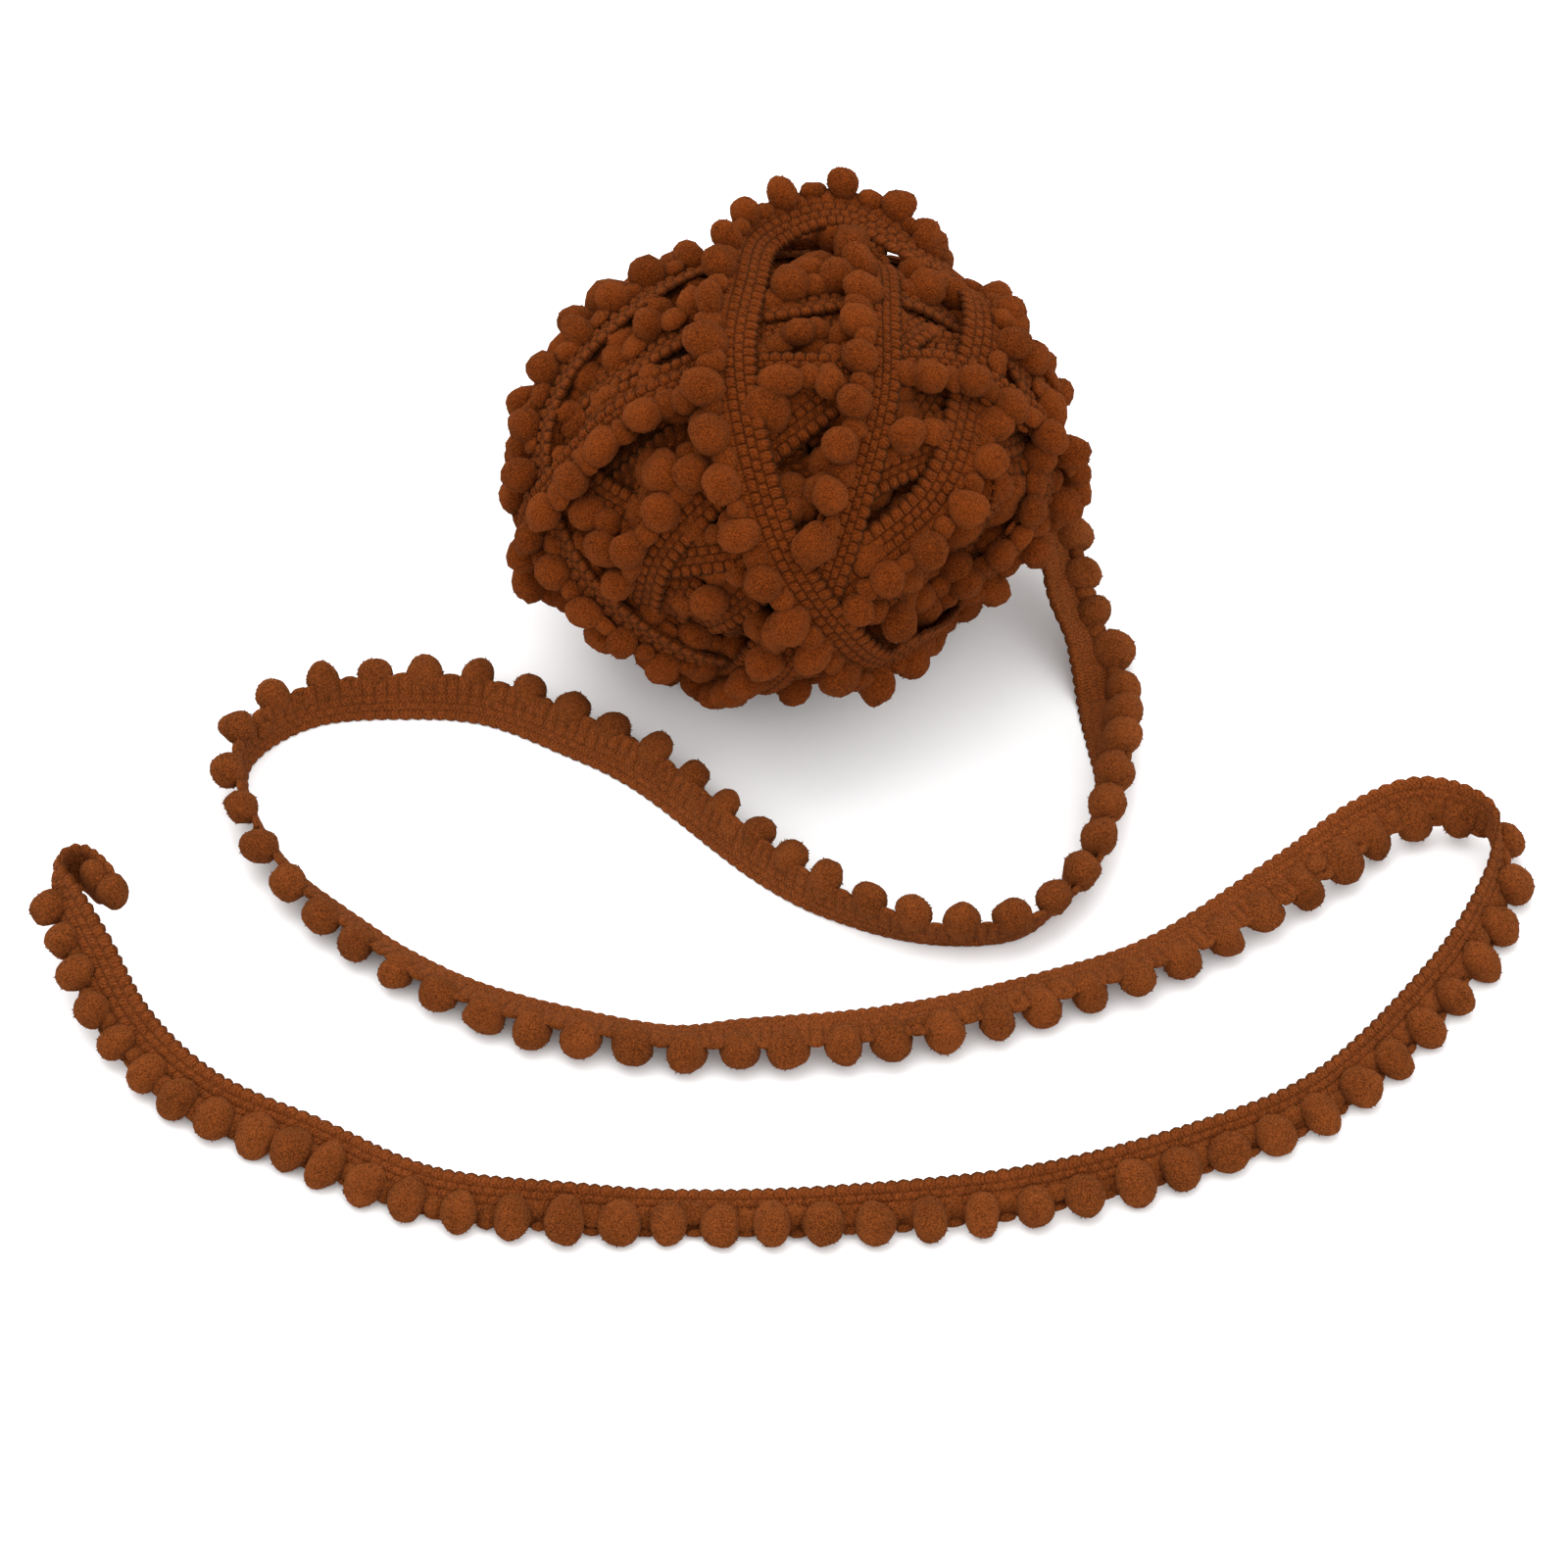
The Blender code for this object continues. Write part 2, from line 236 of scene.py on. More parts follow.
LOW_POMPOM = Tuft(2.50, 1.90, (3.38, 3.38, 3.12), 2, 0.04, 0.09, lean=0.18, fibres=36)
INNER_POMPOM = Tuft(2.30, 2.60, (3.80, 3.90, 3.50), 2, 0.04, 0.09, lean=0.18)
BALL_LOBE = Tuft(2.30, 1.00, (2.55, 2.10, 1.55), 2, 0.06, 0.14)
LOW_LOBE = Tuft(1.80, 1.05, (2.70, 2.40, 1.60), 2, 0.06, 0.14)
INNER_LOBE = LOW_LOBE._replace(cuts=1, lumps=0.05, jitter=0.12)
KNOT = Tuft(3.12, 0.00, (1.60, 0.62, 0.60), 1, 0.05, 0.04)
# The tail's gaps up to the first of these and from the second carry end lobes, and the very
# last have no knot. The pompoms on the cut end are so many mm before it.
END_LOBES = (12, -14)
KNOTLESS = 2
END_POMPOMS = (0.8, 4.9)
SEWN_NEAR = 0.6 * MM
# How far jitter moves a tuft, and how its lumps are waves over it with a rougher share on top.
PLACE_JITTER = 3.0 * MM
LUMP_WAVES = 4
LUMP_RATES = (2.0, 5.5)
ROUGH_SHARE = 0.3

# Loose fibres: how far they stray from straight out, their size and their way clear of the table.
FIBRE_STRAY = 0.4
FIBRE_LENGTHS = (0.25 * MM, 0.60 * MM)
FIBRE_RADIUS = 0.20 * MM
FIBRE_SINK = 0.15 * MM
FIBRE_REACH = 0.4 * MM
FIBRE_CLEARANCE = 1.0 * MM
SPIKE_FACES = np.array(((0, 2, 1), (0, 1, 3), (1, 2, 3), (2, 0, 3)))

# The wound ball: the level of its body, and where the winding is drawn in or full.
BALL_CENTRE = np.array([0.0, 0.0, 34.0]) * MM
BODY_RADII = np.array([42.0, 35.5, 31.5]) * MM
UNEVEN = (
    # heading, tilt, height in mm, spread in degrees
    (-34, -27, -8.5, 30),
    (153, 22, 2.2, 32),
    (32, 25, 2.2, 28),
    (270, -42, -3.0, 35),
)

# The turns that show most, outermost first: how far the tape's width spreads, how big the
# pompoms are and how high the turn lies above the ball's body in mm, then a few places that
# lead it round the ball. Each is the heading and tilt from the ball's middle in degrees and,
# where it differs, its own height; where needed also the turn about its own direction in
# degrees, and the share of the pompoms' size there. The pompoms are on the left.
LED_TURNS = (
    # over the top and down the front
    (1.22, 1.00, 5, ((305, -14), (292, -13), (278, 7), (265, 27), (250, 49), (213, 69, 5, 8, 0.95),
        (134, 69, 5, 20, 0.88), (102, 48, 7, 38, 0.82), (75, 40, 10.5, 40, 0.82),
        (48, 35, 5, 20, 0.84), (50, -4), (22, -28), (338, -36))),
    # second upright turn
    (1.04, 0.97, 4, ((276, 17), (288, 39), (315, 59), (14, 67), (56, 51, 4.5), (66, 45, 10),
        (85, 8), (102, -30), (141, -63), (232, -57), (260, -21))),
    # level turn
    (1.00, 0.95, 3, ((354, 22), (350, 47), (312, 69), (223, 66), (204, 40), (201, 15), (186, -25),
        (165, -69), (25, -62), (10, -18))),
    # slanting turn on the right
    (1.30, 0.88, 3.5, ((342, 38), (313, 29), (285, 19), (267, -2), (253, -27), (203, -43),
        (145, -42), (102, -20), (70, 8), (33, 31))),
    # turn round the left edge
    (1.05, 0.88, 2.5, ((239, -11), (217, 1), (197, 11), (179, 25), (158, 41), (122, 46), (70, 34),
        (35, 9), (4, -16), (322, -35), (276, -33))),
    # turn round the right edge
    (1.05, 0.90, 2.5, ((42, 28, 3), (18, 33), (359, 20), (347, 4), (310, -22), (266, -41),
        (209, -38), (168, -15), (136, 11), (94, 33))),
    # turn beside the left edge one
    (1.00, 0.90, 2, ((152, 43), (177, 27), (197, 12), (218, 1), (241, -12), (282, -33), (332, -33),
        (15, -10), (49, 16), (93, 38))),
    # turn beside the right edge one
    (1.00, 0.92, 2, ((342, 7), (359, 19), (17, 29, 2.5), (39, 36, 5), (94, 35), (136, 13),
        (169, -13), (209, -35), (264, -38), (307, -21))),
    # level turn above
    (1.00, 0.92, 2.5, ((182, 19, 0), (180, 41, 0), (167, 64, 2), (83, 79), (34, 57), (21, 36),
        (11, -1), (4, -41), (328, -78), (204, -58), (192, -18))),
    # slanting turn on the left
    (1.15, 0.98, 2, ((227, -5), (232, 20), (246, 45), (286, 66), (1, 63), (30, 41), (46, 0),
        (63, -40), (129, -71), (207, -45))),
    # slanting turn under the one on the right
    (1.10, 0.93, 2, ((269, 32), (297, 43), (328, 39), (349, 26), (25, 4), (57, -23), (103, -41),
        (157, -36), (196, -13), (227, 14))),
    # low turn on the right
    (1.15, 0.93, 2, ((283, -25), (308, -11), (333, -4), (352, 0), (29, 17), (73, 22), (117, 15),
        (156, 0), (194, -15), (238, -24))),
    # short low turn
    (1.10, 0.95, 2, ((332, 0), (310, 3), (289, 10), (268, 22), (222, 22), (179, 15), (139, 1),
        (99, -13), (55, -20), (11, -16))),
    # turn under the level ones
    (1.10, 0.92, 1.5, ((4, 50), (15, 72), (194, 83), (203, 59), (193, 18), (193, -22), (193, -64),
        (13, -74), (12, -32), (12, 9))),
    # lowest turn
    (1.15, 0.95, 1, ((312, -28), (286, -24), (256, -21), (230, -9), (194, 7), (156, 20), (112, 25),
        (69, 16), (32, 1), (355, -16))),
)
# Plainer turns, each where a plane cuts the ball: heading and tilt of the plane in degrees,
# its offset along that normal and the turn's height in mm, and the side of its pompoms.
PLAIN_TURNS = (
    # heading, tilt, offset, rise, side
    (205, 20, -20, 3.4, -1),
    (100, -30, 22, 2.2, 1),
    (325, -14, 0, 1.0, -1),
    (155, 39, 0, 0.6, 1),
)
# The deepest turn, which fills the hollows in front and behind.
DEEP_TURN = (53, 37, 0, -1.0, 1)
# The inner turns follow one another by the golden share of a full circle, each strayed a
# little in heading, offset and roll and lying a little lower than the one before.
INNER_TURNS = 12
GOLDEN_SHARE = 0.618
INNER_TILT_SHARE = 0.9
INNER_STRAY = (10, 16, 12)
INNER_RISE = 1.2
INNER_SINK = 0.35
PLAIN_SPREAD = 1.15
# Heading and tilt of the side on which the plain and inner turns begin.
RING_START = (80, -50)
SHOWN_TURNS = len(LED_TURNS) + len(PLAIN_TURNS)
BROAD_TURNS = (0, 1, 3)
# The pieces of the ball's tape: first turn, turn past the last, rows of points to a rib, columns.
BALL_TAPES = (
    ("ball_tape_outer", 0, 4, 4, FULL_COLUMNS),
    ("ball_tape_next", 4, 10, 3, FULL_COLUMNS),
    ("ball_tape_low", 10, SHOWN_TURNS, 3, FULL_COLUMNS),
    ("ball_tape_inner", SHOWN_TURNS, None, 2, PLAIN_COLUMNS),
)
# How a turn or a tuft passes under the turns outside it: the room it leaves, and across the
# upper tape its middle, the half width that it covers and the half width at which that ends.
TURN_CLEARANCE = 1.2 * MM
POMPOM_CLEARANCE = 3.2 * MM
LOBE_CLEARANCE = 1.8 * MM
TURN_COVER = (1.2 * MM, 6.0 * MM, 10.0 * MM)
TUFT_COVER = (0.0, 4.2 * MM, 5.6 * MM)
TUFT_MIDDLE = (3.7 * MM, 1.6 * MM)
COVER_AHEAD = 2.2 * MM
COVER_DEEP = 12 * MM
TURN_SINKS_MOST = 8 * MM
TUFT_SINKS_MOST = 6 * MM
SMOOTHING = ((-3, 0.07), (-2, 0.13), (-1, 0.19), (0, 0.22), (1, 0.19), (2, 0.13), (3, 0.07))
TURN_SAMPLES = 128
TURN_NEAR = 1.5
GUIDE_STEPS = 16
CORE_CUTS = 11
SEED = 7

# Finishes: the sheen of the pile and yarn, and how the yarn's strands run over the tape.
WHITE = (1.0, 1.0, 1.0, 1.0)
WARM = (1.0, 0.60, 0.30, 1.0)
SHEEN_ROUGHNESS = 0.45
# Painted glints rise this steeply above their level.
PEAK_SLOPE = 8.0
STRANDS_PER_RIB = 3.0
SLANT_WIDTH = 0.66
# Painted shade in the yarn's grooves: the share of its colour left there.
TAIL_GROOVE_PAINTED_SHADE = 0.36
BALL_GROOVE_PAINTED_SHADE = 0.18

# The stage, in metres: each light's place, size and power, and what the lights and camera face.
LIGHTS = (
    ("key", (-0.25, 0.45, 1.25), 1.6, 14.0),
    ("fill", (0.5, -0.9, 0.9), 1.2, 3.8),
)
LIGHTS_AIM = (0, -0.03, 0.02)
SURROUND_STRENGTH = 1.42
TABLE_HALF = 6.0
VIEW_MIDDLE = (-0.0015, -0.037, 0.0)


def unit(vectors):
    return vectors / np.linalg.norm(vectors, axis=-1, keepdims=True)


def dot(a, b):
    return np.sum(a * b, axis=-1)


def direction(heading, tilt):
    """The unit vector of a heading and a tilt in degrees."""
    heading, tilt = math.radians(heading), math.radians(tilt)
    level = math.cos(tilt)
    return np.array([level * math.cos(heading), level * math.sin(heading), math.sin(tilt)])


def smooth_span(four, steps):
    """Catmull-Rom samples between the two middle rows of four."""
    u = np.arange(steps)[:, None] / steps
    before, start, end, after = four
    bend = 2 * before - 5 * start + 4 * end - after
    twist = -before + 3 * start - 3 * end + after
    return start + 0.5 * u * ((end - before) + u * (bend + u * twist))


def distances_along(points):
    """How far along the line through them each of the points lies."""
    steps = np.linalg.norm(np.diff(points, axis=0), axis=1)
    return np.concatenate([[0.0], np.cumsum(steps)])


def rows_at(distance, distances, rows):
    """Rows of values at any distance, straight between the rows given."""
    return np.stack([np.interp(distance, distances, column) for column in rows.T], -1)


def framed(centre, along, upward, roll):
    """The trim's middle, its direction, across it and out of its front, rolled from lying flat."""
    level = unit(np.cross(upward, along))
    across = np.cos(roll) * level + np.sin(roll) * np.cross(along, level)
    return centre, along, across, np.cross(along, across)


def settle(points, soft):
    """Press what would reach below the table up onto it, evenly over a soft depth."""
    z = points[..., 2]
    points[..., 2] = np.where(z < soft, soft * np.exp(np.minimum(z - soft, 0.0) / soft), z)
    return points


def tail_fit(share):
    """How the tail lies at a share of its length."""
    return Fit(*(np.interp(share, TAIL_FIT[:, 0], column) for column in TAIL_FIT[:, 1:].T))


class TailPath:
    """The tail's centre line with its frame, asked for by the distance from its start."""

    # The depth over which the trim gives on the table, and the first pompom's share of a pitch.
    soft = 0.8 * MM
    first_pompom = 0.25
    crowding = tuple(zip(*TAIL_CROWDING))

    def __init__(self, pitch):
        rows = np.array(TAIL_ROOT + TAIL_ROUTE, dtype=float)
        rows[:, 3] = np.radians(rows[:, 3])
        padded = np.vstack([2 * rows[0] - rows[1], rows, 2 * rows[-1] - rows[-2]])
        spans = [smooth_span(padded[i:i + 4], ROUTE_STEPS) for i in range(len(rows) - 1)]
        samples = np.vstack(spans + [rows[-1:]])
        ahead = np.gradient(samples[:, :2], axis=0)
        steps = np.linalg.norm(ahead, axis=1, keepdims=True)
        share = np.cumsum(steps) / np.sum(steps)
        left = np.column_stack([-ahead[:, 1], ahead[:, 0]]) / steps
        samples[:, :2] += tail_fit(share).aside[:, None] * left
        samples[:, 3] += np.radians(tail_fit(share).turned)
        heights = self._rest_heights(samples[:, 3]) + samples[:, 2]
        self.centres = np.column_stack([samples[:, :2], heights]) * MM
        self.rolls = samples[:, 3]
        self.distances = distances_along(self.centres)
        self.fold_at = float(self.distances[-1]) - FOLD_BEFORE_END
        self.length = self.fold_at + FOLDED_LENGTH
        self.near = pitch / 4

    @staticmethod
    def _rest_heights(rolls):
        """Height of the centre line at which the section's lowest point touches the table."""
        lows = [w * np.sin(rolls) + h * np.cos(rolls) - radius for w, h, radius in REST_SECTION]
        return REST_CLEARANCE - np.min(lows, axis=0)

    def fit(self, distance):
        return tail_fit(distance / self.length)

    def drawn(self, distance, w):
        """Where the width lies once its sides are drawn in beside the fold and at the end."""
        past, pompoms, picots = zip(*FOLD_GATHER)
        beyond = (distance - self.fold_at) / MM
        return w * np.where(w > 0, np.interp(beyond, past, pompoms), np.interp(beyond, past, picots))

    def bare(self, distance):
        """Where neither lobes nor knots fit, beside the fold and at the end."""
        beside = np.abs(distance - self.fold_at) < FOLD_BARE
        return beside | (distance > self.length - END_BARE)

    def frames(self, distance):
        distance = np.minimum(distance, self.fold_at)
        behind, centre, ahead = (rows_at(distance + step, self.distances, self.centres)
                                 for step in (-self.near, 0.0, self.near))
        twisted = np.clip(1 - (self.fold_at - distance) / TWISTED_LENGTH, 0, 1) ** 2
        roll = np.interp(distance, self.distances, self.rolls) + END_TWIST * twisted
        return framed(centre, unit(ahead - behind), UP, roll[..., None])

    def place(self, distance, w, h):
        """Points of the trim, with what lies past the fold line folded under."""
        centre, along, across, normal = self.frames(distance)
        past = np.maximum(0.0, distance - self.fold_at)[..., None]
        flat = centre + past * along + w[..., None] * across + h[..., None] * normal
        near_fold = distance >= self.fold_at - FOLD_SIDE_REACH
        flat[near_fold] = self._fold(flat[near_fold])
        return flat

    def _fold(self, flat):
        pivot, along, across, normal = self.frames(np.array(self.fold_at))
        line = math.cos(FOLD_SKEW) * along - math.sin(FOLD_SKEW) * across
        onward = math.sin(FOLD_SKEW) * along + math.cos(FOLD_SKEW) * across
        offset = flat - pivot
        past_line = dot(offset, onward)
        angle = np.clip(past_line / FOLD_RADIUS, 0.0, FOLD_ANGLE)[:, None]
        beyond = past_line[:, None] - angle * FOLD_RADIUS
        axis = pivot + dot(offset, line)[:, None] * line - FOLD_RADIUS * normal
        outward = np.sin(angle) * onward + np.cos(angle) * normal
        returning = np.cos(angle) * onward - np.sin(angle) * normal
        folded = axis + (FOLD_RADIUS + dot(offset, normal)[:, None]) * outward + beyond * returning
        return np.where(past_line[:, None] > 0, folded, flat)


def led_round(spread, size, height, guides):
    """A closed smooth curve through a turn's guides: rays, height, roll, spread and pompoms."""
    rows = []
    for heading, tilt, *own in guides:
        rise, roll, share = own + [height, 0, 1][len(own):]
        rows.append((*direction(heading, tilt), rise, math.radians(roll), spread, size * share))
    rows = np.array(rows)
    around = [np.roll(rows, shift, axis=0) for shift in (1, 0, -1, -2)]
    return np.vstack([smooth_span(four, GUIDE_STEPS) for four in zip(*around)])


def cut_round(heading, tilt, offset, rise, side, roll=0.0):
    """The same for the curve where a plane cuts the ball."""
    axis = direction(heading, tilt)
    hidden = direction(*RING_START)
    start = unit(hidden - axis * dot(hidden, axis))
    angles = np.linspace(0, 2 * math.pi, TURN_SAMPLES, endpoint=False)[:, None] * side
    rays = np.cos(angles) * start + np.sin(angles) * np.cross(axis, start)
    middle = axis * offset * MM
    scaled_ray, scaled_middle = rays / BODY_RADII, middle / BODY_RADII
    square, mixed = dot(scaled_ray, scaled_ray), dot(scaled_ray, scaled_middle)
    short = dot(scaled_middle, scaled_middle) - 1.0
    reach = (-mixed + np.sqrt(mixed ** 2 - square * short)) / square
    level = np.tile((rise, math.radians(roll), PLAIN_SPREAD, 1.0), (TURN_SAMPLES, 1))
    return np.hstack([middle + rays * reach[:, None], level])


class BallTurn:
    """A closed turn round the ball, from the curve that leads it."""

    soft = 4.0 * MM
    first_pompom = 0.0
    crowding = ((0, 1), (0, 1))

    def __init__(self, curve):
        rays = unit(curve[:, :3])
        body = rays / np.linalg.norm(rays / BODY_RADII, axis=1)[:, None]
        outward = unit(body / BODY_RADII ** 2)
        lift = curve[:, 3].copy()
        for heading, tilt, height, spread in UNEVEN:
            away = np.degrees(np.arccos(np.clip(dot(rays, direction(heading, tilt)), -1, 1)))
            lift += height * np.exp(-(away / spread) ** 2)
        self.centres = BALL_CENTRE + body + outward * lift[:, None] * MM
        self.normals = outward
        self.lie = curve[:, 4:]
        self._measure()
        evenly = (self._at(self.samples(), rows) for rows in (self.centres, self.normals, self.lie))
        self.centres, self.normals, self.lie = evenly
        self.normals = unit(self.normals)
        self._measure()

    def _measure(self):
        self.distances = distances_along(np.vstack([self.centres, self.centres[:1]]))
        self.length = float(self.distances[-1])

    def _at(self, distance, rows):
        return rows_at(np.mod(distance, self.length), self.distances, np.vstack([rows, rows[:1]]))

    def samples(self):
        return np.arange(TURN_SAMPLES) * self.length / TURN_SAMPLES

    def frames(self, distance):
        near = TURN_NEAR * self.length / TURN_SAMPLES
        behind, centre, ahead = (self._at(distance + step, self.centres) for step in (-near, 0.0, near))
        outward, roll = self._at(distance, self.normals), self._at(distance, self.lie)[..., :1]
        return framed(centre, unit(ahead - behind), outward, roll)

    def place(self, distance, w, h):
        centre, _, across, normal = self.frames(distance)
        return centre + w[..., None] * across + h[..., None] * normal

    def fit(self, distance):
        return Fit(*self._at(distance, self.lie)[..., 1:].T)

    def drawn(self, _, w):
        return w

    def sink_under(self, upper):
        """Pass below the turns already laid outside this one."""
        if not upper:
            return
        need = depth_under(upper, self.centres, TURN_CLEARANCE, *TURN_COVER)
        wide = np.max([np.roll(need, shift) for shift in (-1, 0, 1)], axis=0)
        smooth = sum(np.roll(wide, shift) * share for shift, share in SMOOTHING)
        self.centres = self.centres - np.minimum(smooth, TURN_SINKS_MOST)[:, None] * self.normals
        self._measure()


def depth_under(upper, points, clearance, middle_w, full, faded):
    """How far each point must move inwards to lie clearance below the turns in upper."""
    centre, along, across, normal = (np.vstack(part) for part in zip(*upper))
    offset = points[:, None, :] - centre[None]
    ahead, w, h = dot(offset, along), dot(offset, across), dot(offset, normal)
    fade = np.clip((faded - np.abs(w - middle_w)) / (faded - full), 0.0, 1.0)
    covers = (np.abs(ahead) < COVER_AHEAD) & (np.abs(h) < COVER_DEEP)
    return np.max(np.where(covers, np.maximum(h + clearance, 0.0) * fade, 0.0), axis=1)


def lay_turns():
    """All the ball's turns, each sunk under those outside it, and where each one lies."""
    rng = np.random.default_rng(SEED)
    curves = [led_round(*row) for row in LED_TURNS] + [cut_round(*row) for row in PLAIN_TURNS]
    for i in range(INNER_TURNS):
        stray, offset, roll = (rng.uniform(-most, most) for most in INNER_STRAY)
        heading = 360 * (i * GOLDEN_SHARE % 1.0) + stray
        tilt = math.degrees(math.asin(2 * (i + 0.5) / INNER_TURNS - 1)) * INNER_TILT_SHARE
        rise = INNER_RISE - INNER_SINK * i
        curves.append(cut_round(heading, tilt, offset, rise, 1 if i % 2 else -1, roll))
    curves.append(cut_round(*DEEP_TURN))
    turns, laid = [], []
    for curve in curves:
        turn = BallTurn(curve)
        turn.sink_under(laid)
        laid.append(turn.frames(turn.samples()))
        turns.append(turn)
    return turns, laid


def linked(name, data):
    obj = bpy.data.objects.new(name, data)
    bpy.context.scene.collection.objects.link(obj)
    return obj


def new_piece(name, mesh, material):
    """An object of the trim, with its finish and what it moves with."""
    mesh.materials.append(material)
    obj = linked(name, mesh)
    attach(obj, "root")
    return obj


def mesh_of(bm, name):
    mesh = bpy.data.meshes.new(name)
    bm.to_mesh(mesh)
    bm.free()
    return mesh


def points_of(mesh):
    flat = np.empty(len(mesh.vertices) * 3)
    mesh.vertices.foreach_get("co", flat)
    return flat.reshape(-1, 3)


def give_values(mesh, name, values):
    """A value for each point, which the materials read by its name."""
    mesh.attributes.new(name, "FLOAT", "POINT").data.foreach_set("value", values)


def flat_slabs(steps, rows):
    """A mesh of flat slabs a slab step apart: steps along each of them and rows across."""
    bm = bmesh.new()
    for k, count in enumerate(steps):
        bmesh.ops.create_grid(bm, x_segments=count, y_segments=rows, size=0.5,
                              matrix=Matrix.Translation((0, SLAB_STEP * k, 0)))
    bmesh.ops.solidify(bm, geom=bm.faces[:], thickness=SLAB_THICKNESS)
    bmesh.ops.recalc_face_normals(bm, faces=bm.faces[:])
    return bm


def make_tape(name, paths, trim, material, rows_per_rib, columns, rng):
    """Woven tape along one or more paths: flat slabs, raised into ribs and laid in place."""
    section = np.array([TAPE_SECTION[i] for i in columns])
    ribs = [max(FEWEST_RIBS, round(path.length / trim.rib_pitch)) for path in paths]
    mesh = mesh_of(flat_slabs([count * rows_per_rib for count in ribs], len(section) - 1), name)
    flat = points_of(mesh)
    strip = np.rint(flat[:, 1] / SLAB_STEP).astype(int)
    column = np.rint((flat[:, 1] - SLAB_STEP * strip + 0.5) * (len(section) - 1)).astype(int)
    front = flat[:, 2] > np.mean([flat[:, 2].min(), flat[:, 2].max()])
    points = np.empty(flat.shape)
    relief, run = np.empty((2, len(flat)))
    noise = rng.normal(0.0, STITCH_NOISE, len(flat))
    for k, path in enumerate(paths):
        own = np.flatnonzero(strip == k)
        phase = pinched((flat[own, 0] + 0.5) * ribs[k], section[column[own], 5])
        w, h, relief[own] = tape_relief(section[column[own]], phase, ribs[k], front[own], trim, path)
        wobble = sum(size * np.sin(phase * rate + k * apart) for size, rate, apart in RIB_WOBBLE)
        distance = phase * path.length / ribs[k] + wobble
        points[own] = settle(path.place(distance, w, h + noise[own]), path.soft)
        run[own] = phase
    mesh.vertices.foreach_set("co", points.ravel())
    # The relief value carries painted shade: darker where the tape lies low and in its grooves.
    give_values(mesh, "relief", relief)
    corner = np.empty(len(mesh.loops), dtype=int)
    mesh.loops.foreach_get("vertex_index", corner)
    layout = np.stack([run, section[column, 0]], axis=1)[corner]
    mesh.uv_layers.new(name="trim").data.foreach_set("uv", layout.ravel())
    mesh.shade_smooth()
    mesh.update()
    return new_piece(name, mesh, material)


def pinched(phase, shift):
    """Draw the rows of points beside each groove in towards it, so that the ribs stay flat."""
    aside = phase + shift - np.rint(phase + shift)
    return phase - aside + np.sign(aside) * 0.5 * np.abs(2 * aside) ** GROOVE_PINCH


def pompoms_on(path, trim):
    return max(1, round(path.length / trim.pompom_pitch))


def tape_relief(section, phase, ribs, front, trim, path):
    """Place across, height and painted light of each point of the tape: low points and grooves painted
    darker as shade.
    """
    w, top, cut, back, back_cut, shift, web = section.T
    aside = phase + shift - np.rint(phase + shift)
    groove = np.clip(1 - np.abs(aside) / GROOVE_SHARE, 0, 1)
    turn = np.interp(phase / ribs, *path.crowding) * pompoms_on(path, trim) - path.first_pompom
    wave = np.cos(2 * math.pi * turn)
    valley = cut == VALLEY_GROOVE
    dip = np.clip(-wave, 0, 1) * (web == 1)
    distance = phase * path.length / ribs
    fit = path.fit(distance)
    raised = fit.relief
    top = np.where(valley, top + VALLEY_FILL * (1 - raised), top)
    height_front = top - raised * cut * groove - DIP_DEPTH * dip
    height_back = -(back - back_cut * groove + WEB_WAVE * web * wave)
    # Painted shade: low points of the front and grooves and valleys of the back are darkened.
    front_painted_light = np.clip((height_front - PAINTED_DARK_BELOW) / PAINTED_SHADE_FADES_OVER, 0, MOST_PAINTED_LIGHT)
    back_painted_light = np.clip(1 - BACK_GROOVE_PAINTED_SHADE * groove * back_cut - VALLEY_PAINTED_SHADE * valley, 0, 1)
    scallop = np.interp(w, *zip(*PICOTS)) * (PICOTS_LEFT + (1 - PICOTS_LEFT) * raised)
    scallop = scallop * np.abs(np.sin(math.pi * phase)) ** PICOT_ROUND
    w = w - scallop + EDGE_WAVE * wave * (w > EDGE_WAVE_START)
    w = path.drawn(distance, w * fit.spread) * MM
    h = np.where(front, height_front, height_back) * MM
    return w, h, np.where(front, front_painted_light, back_painted_light)


def round_cube(cuts):
    """A cube of even quads, rounded to a unit ball."""
    bm = bmesh.new()
    bmesh.ops.create_cube(bm, size=2.0)
    bmesh.ops.subdivide_edges(bm, edges=bm.edges, cuts=cuts, use_grid_fill=True)
    for vert in bm.verts:
        vert.co = Vector([math.tan(axis * math.pi / 4) for axis in vert.co]).normalized()
    return bm


def tuft_shape(cuts):
    """The points and faces of one unworked tuft."""
    bm = round_cube(cuts)
    points = np.array([vert.co for vert in bm.verts])
    faces = np.array([[vert.index for vert in face.verts] for face in bm.faces])
    bm.free()
    return points, faces


def random_turns(rng, count):
    """Random rotation matrices."""
    return np.array([Quaternion(row).to_matrix() for row in unit(rng.normal(size=(count, 4)))])


def joined_piece(name, points, faces, material, rng):
    """One piece of many copies, each in its own shade: copies by points by 3, one copy's faces."""
    copies, per_copy = points.shape[:2]
    all_faces = faces + (np.arange(copies) * per_copy)[:, None, None]
    mesh = bpy.data.meshes.new(name)
    mesh.from_pydata(points.reshape(-1, 3), [], all_faces.reshape(-1, faces.shape[1]))
    mesh.shade_smooth()
    mesh.update()
    give_values(mesh, "shade", np.repeat(rng.uniform(0, 1, copies), per_copy))
    return new_piece(name, mesh, material)


